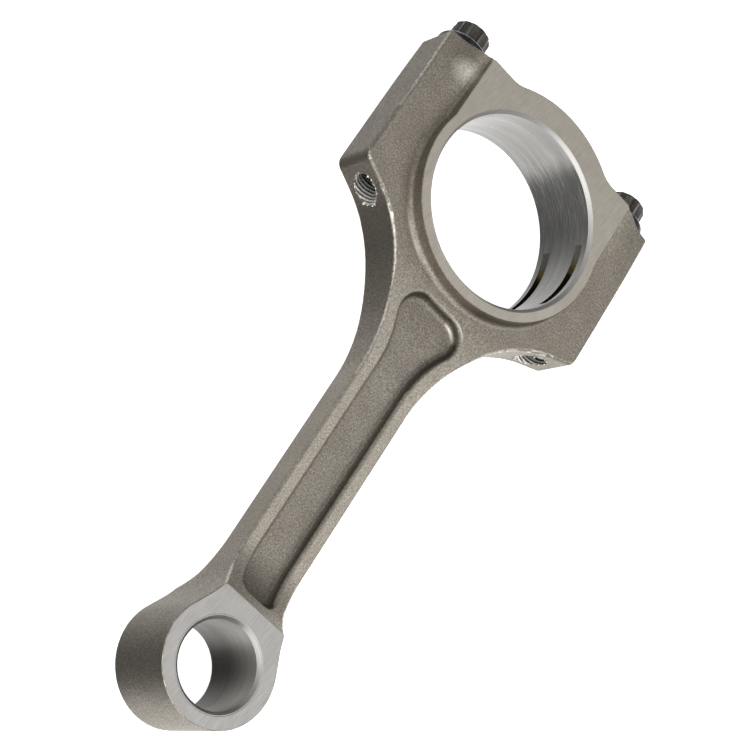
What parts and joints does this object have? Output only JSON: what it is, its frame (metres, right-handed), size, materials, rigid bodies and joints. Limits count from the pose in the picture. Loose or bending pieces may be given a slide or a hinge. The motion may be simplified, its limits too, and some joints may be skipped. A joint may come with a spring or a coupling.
{
  "type": "connecting rod",
  "caption": "Forged engine connecting rod with an I-section beam, a fracture-split bearing cap held by twelve-point cap bolts, and a bushed piston-pin eye.",
  "frame": {"origin": "centre of the big-end (crank) bore at mid thickness, on the joint face between rod and cap", "axes": "+Z along both bores, out of the front face; +X from the piston-pin end towards the cap and its bolt heads; +Y to the left bolt"},
  "size_m": [0.1948, 0.0806, 0.022],
  "materials": {
    "forged_steel": "shot-peened forging, machined end faces",
    "bolt_steel": "black phosphate, lightly oiled",
    "bush_steel": "fine bored"
  },
  "bodies": {
    "rod": {"rod_body": "forged_steel", "small_end_bush": "bush_steel"},
    "cap": {"bearing_cap": "forged_steel"},
    "bolt_left": {"cap_bolt_left": "bolt_steel"},
    "bolt_right": {"cap_bolt_right": "bolt_steel"}
  },
  "joints": [
    {"name": "left_bolt_turn", "type": "hinge", "parent": "cap", "child": "bolt_left", "pos_m": [0, 0.0323, 0], "axis": [1, 0, 0], "range_deg": [0, 5400]},
    {"name": "right_bolt_turn", "type": "hinge", "parent": "cap", "child": "bolt_right", "pos_m": [0, -0.0323, 0], "axis": [1, 0, 0], "range_deg": [0, 5400]},
    {"name": "cap_lift", "type": "slide", "parent": "rod", "child": "cap", "axis": [1, 0, 0], "range_m": [0, 0.015]}
  ],
  "couplings": [
    {"joint": "left_bolt_turn", "follows": "cap_lift", "rad_per_m": 6283.2},
    {"joint": "right_bolt_turn", "follows": "cap_lift", "rad_per_m": 6283.2}
  ]
}
